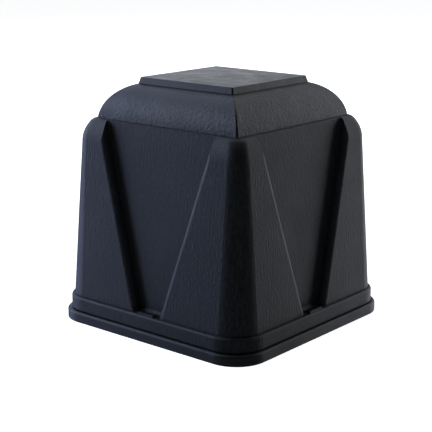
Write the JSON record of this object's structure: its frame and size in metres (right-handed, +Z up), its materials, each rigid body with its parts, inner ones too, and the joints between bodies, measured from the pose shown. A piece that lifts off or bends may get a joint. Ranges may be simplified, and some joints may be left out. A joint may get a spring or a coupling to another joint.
{
  "type": "fence post cap",
  "caption": "Tall square push-fit cap for a fence post: a base frame with a post socket, a tapered hood with V-shaped recessed panels, a domed roof lid and a flat top plate.",
  "frame": {"origin": "centre of the base frame's underside", "axes": "+Z up along the post's axis; the four faces look along X and Y"},
  "size_m": [0.13, 0.13, 0.1308],
  "materials": {
    "black_plastic": "black moulded plastic with a fine wood-like grain",
    "latch_plastic": "smooth black moulded plastic",
    "screw_steel": "zinc-plated steel"
  },
  "bodies": {
    "base": {"base_frame": "black_plastic"},
    "hood": {"hood_shell": "black_plastic", "roof_lid": "black_plastic", "top_plate": "black_plastic", "lid_screw_1": "screw_steel", "lid_screw_2": "screw_steel", "lid_screw_3": "screw_steel", "lid_screw_4": "screw_steel"},
    "finger_front": {"latch_front": "latch_plastic"},
    "finger_right": {"latch_right": "latch_plastic"},
    "finger_back": {"latch_back": "latch_plastic"},
    "finger_left": {"latch_left": "latch_plastic"}
  },
  "joints": [
    {"name": "hood_lift", "type": "slide", "parent": "base", "child": "hood", "axis": [0, 0, 1], "range_m": [0, 0.06]},
    {"name": "flex_front", "type": "hinge", "parent": "base", "child": "finger_front", "pos_m": [0, -0.0594, 0.0037], "axis": [-1, 0, 0], "range_deg": [0, 8], "stiffness_Nm_per_rad": 0.4},
    {"name": "flex_right", "type": "hinge", "parent": "base", "child": "finger_right", "pos_m": [0.0594, 0, 0.0037], "axis": [0, -1, 0], "range_deg": [0, 8], "stiffness_Nm_per_rad": 0.4},
    {"name": "flex_back", "type": "hinge", "parent": "base", "child": "finger_back", "pos_m": [0, 0.0594, 0.0037], "axis": [1, 0, 0], "range_deg": [0, 8], "stiffness_Nm_per_rad": 0.4},
    {"name": "flex_left", "type": "hinge", "parent": "base", "child": "finger_left", "pos_m": [-0.0594, 0, 0.0037], "axis": [0, 1, 0], "range_deg": [0, 8], "stiffness_Nm_per_rad": 0.4}
  ]
}
